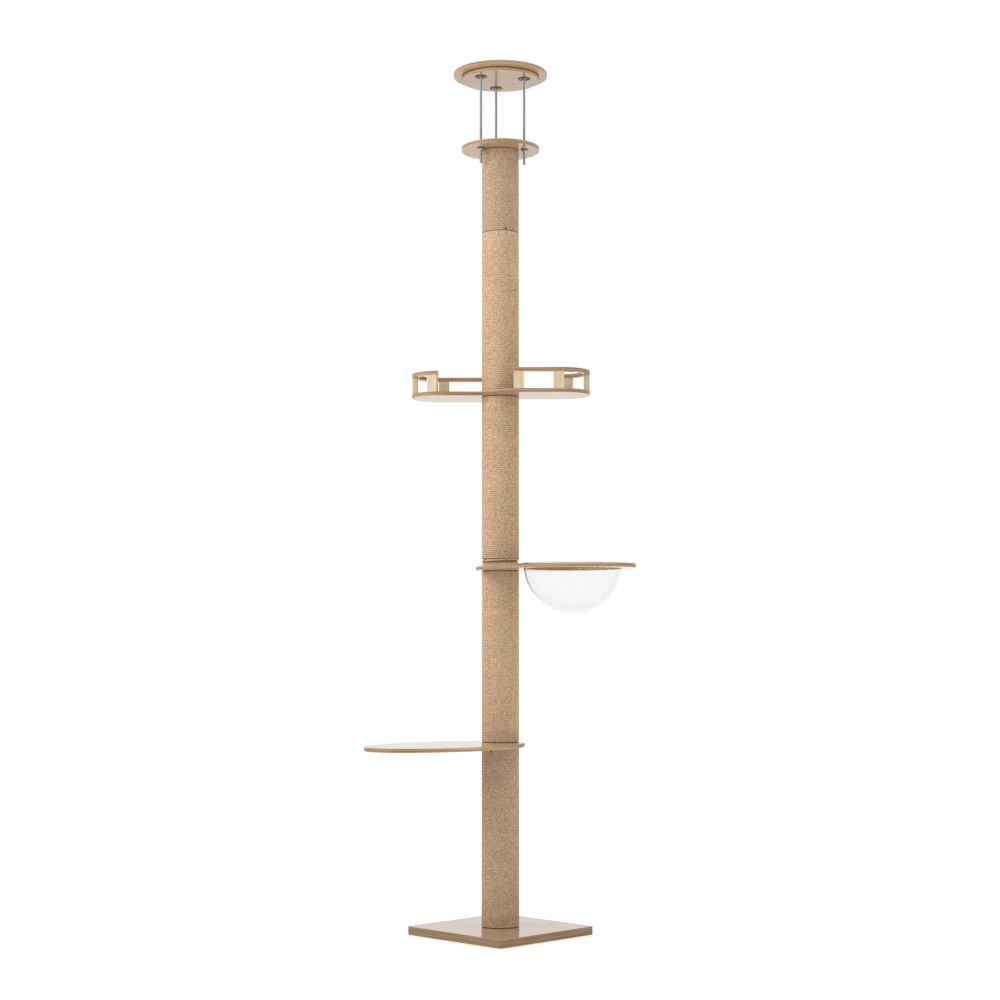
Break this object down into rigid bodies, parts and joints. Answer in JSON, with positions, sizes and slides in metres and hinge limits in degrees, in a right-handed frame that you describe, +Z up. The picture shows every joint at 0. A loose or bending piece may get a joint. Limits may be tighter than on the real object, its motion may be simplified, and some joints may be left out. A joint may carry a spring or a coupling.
{
  "type": "cat tree",
  "caption": "Floor-to-ceiling cat tree: square base, rope-wrapped pole, oval, clear-bowl and S-shaped railed platforms, and a threaded tension head.",
  "frame": {"origin": "centre of the base's underside, on the pole's axis", "axes": "+Z up along the pole, X and Y along the sides of the square base; the bowl platform reaches out along +X and the oval platform along -Y"},
  "size_m": [0.7624, 0.713, 2.6531],
  "materials": {
    "oak_laminate": "light oak laminate, satin gloss, with a matt edge band",
    "birch": "sanded pale plywood, clear matt lacquer",
    "rope": "twisted natural fibre rope, wound close",
    "card_tube": "brown pressed paper tube, matt",
    "plug_board": "raw fibreboard",
    "zinc_steel": "bright zinc plated",
    "socket_metal": "beige lacquered steel",
    "clear_acrylic": "clear moulded acrylic, glossy",
    "grip_pad": "thin matt non-slip foam"
  },
  "bodies": {
    "stand": {"base_board": "oak_laminate", "tube_1": "card_tube", "tube_2": "card_tube", "tube_3": "card_tube", "tube_4": "card_tube", "tube_5": "card_tube", "rope_wrap_1": "rope", "rope_wrap_2": "rope", "rope_wrap_3": "rope", "rope_wrap_4": "rope", "rope_wrap_5": "rope", "end_plugs_1": "plug_board", "end_plugs_2": "plug_board", "end_plugs_3": "plug_board", "end_plugs_4": "plug_board", "end_plugs_5": "plug_board", "threaded_inserts": "zinc_steel", "joining_studs": "zinc_steel", "rope_tacks": "zinc_steel", "pole_disc": "oak_laminate", "pole_disc_bolt": "zinc_steel", "pole_disc_washer": "zinc_steel", "rod_washers": "zinc_steel"},
    "oval_platform": {"oval_board": "oak_laminate"},
    "bowl_platform": {"bowl_board": "oak_laminate"},
    "bowl_dish": {"bowl": "clear_acrylic"},
    "s_platform": {"s_board": "oak_laminate", "left_rail": "oak_laminate", "right_rail": "oak_laminate", "left_post_1": "birch", "left_post_2": "birch", "left_post_3": "birch", "left_post_4": "birch", "right_post_1": "birch", "right_post_2": "birch", "right_post_3": "birch", "right_post_4": "birch", "post_screws": "zinc_steel", "rail_dowels": "birch"},
    "ceiling_head": {"ceiling_subplate": "oak_laminate", "ceiling_plate": "oak_laminate", "ceiling_pad": "grip_pad", "plate_screws": "zinc_steel", "socket_screws": "zinc_steel", "threaded_rod_1": "zinc_steel", "threaded_rod_2": "zinc_steel", "threaded_rod_3": "zinc_steel", "rod_socket_1": "socket_metal", "rod_socket_2": "socket_metal", "rod_socket_3": "socket_metal"},
    "adjusting_nut_1_body": {"adjusting_nut_1": "zinc_steel"},
    "lock_nut_1_body": {"lock_nut_1": "zinc_steel"},
    "adjusting_nut_2_body": {"adjusting_nut_2": "zinc_steel"},
    "lock_nut_2_body": {"lock_nut_2": "zinc_steel"},
    "adjusting_nut_3_body": {"adjusting_nut_3": "zinc_steel"},
    "lock_nut_3_body": {"lock_nut_3": "zinc_steel"}
  },
  "joints": [
    {"name": "oval_swivel", "type": "hinge", "parent": "stand", "child": "oval_platform", "pos_m": [0, 0, 0.5734], "axis": [0, 0, 1], "continuous": true},
    {"name": "bowl_swivel", "type": "hinge", "parent": "stand", "child": "bowl_platform", "pos_m": [0, 0, 1.1048], "axis": [0, 0, 1], "continuous": true},
    {"name": "s_swivel", "type": "hinge", "parent": "stand", "child": "s_platform", "pos_m": [0, 0, 1.6412], "axis": [0, 0, 1], "continuous": true},
    {"name": "bowl_lift", "type": "slide", "parent": "bowl_platform", "child": "bowl_dish", "axis": [0, 0, 1], "range_m": [0, 0.2]},
    {"name": "head_extension", "type": "slide", "parent": "stand", "child": "ceiling_head", "axis": [0, 0, 1], "range_m": [-0.18, 0.03]},
    {"name": "adjusting_nut_1_turn", "type": "hinge", "parent": "stand", "child": "adjusting_nut_1_body", "pos_m": [0.07114, 0.03318, 2.42155], "axis": [0, 0, 1], "continuous": true},
    {"name": "lock_nut_1_turn", "type": "hinge", "parent": "stand", "child": "lock_nut_1_body", "pos_m": [0.07114, 0.03318, 2.39965], "axis": [0, 0, 1], "continuous": true},
    {"name": "adjusting_nut_2_turn", "type": "hinge", "parent": "stand", "child": "adjusting_nut_2_body", "pos_m": [-0.0643, 0.04503, 2.42155], "axis": [0, 0, 1], "continuous": true},
    {"name": "lock_nut_2_turn", "type": "hinge", "parent": "stand", "child": "lock_nut_2_body", "pos_m": [-0.0643, 0.04503, 2.39965], "axis": [0, 0, 1], "continuous": true},
    {"name": "adjusting_nut_3_turn", "type": "hinge", "parent": "stand", "child": "adjusting_nut_3_body", "pos_m": [-0.00684, -0.0782, 2.42155], "axis": [0, 0, 1], "continuous": true},
    {"name": "lock_nut_3_turn", "type": "hinge", "parent": "stand", "child": "lock_nut_3_body", "pos_m": [-0.00684, -0.0782, 2.39965], "axis": [0, 0, 1], "continuous": true}
  ],
  "couplings": [
    {"joint": "adjusting_nut_1_turn", "follows": "head_extension", "rad_per_m": -5026.5},
    {"joint": "lock_nut_1_turn", "follows": "head_extension", "rad_per_m": -5026.5},
    {"joint": "adjusting_nut_2_turn", "follows": "head_extension", "rad_per_m": -5026.5},
    {"joint": "lock_nut_2_turn", "follows": "head_extension", "rad_per_m": -5026.5},
    {"joint": "adjusting_nut_3_turn", "follows": "head_extension", "rad_per_m": -5026.5},
    {"joint": "lock_nut_3_turn", "follows": "head_extension", "rad_per_m": -5026.5}
  ]
}
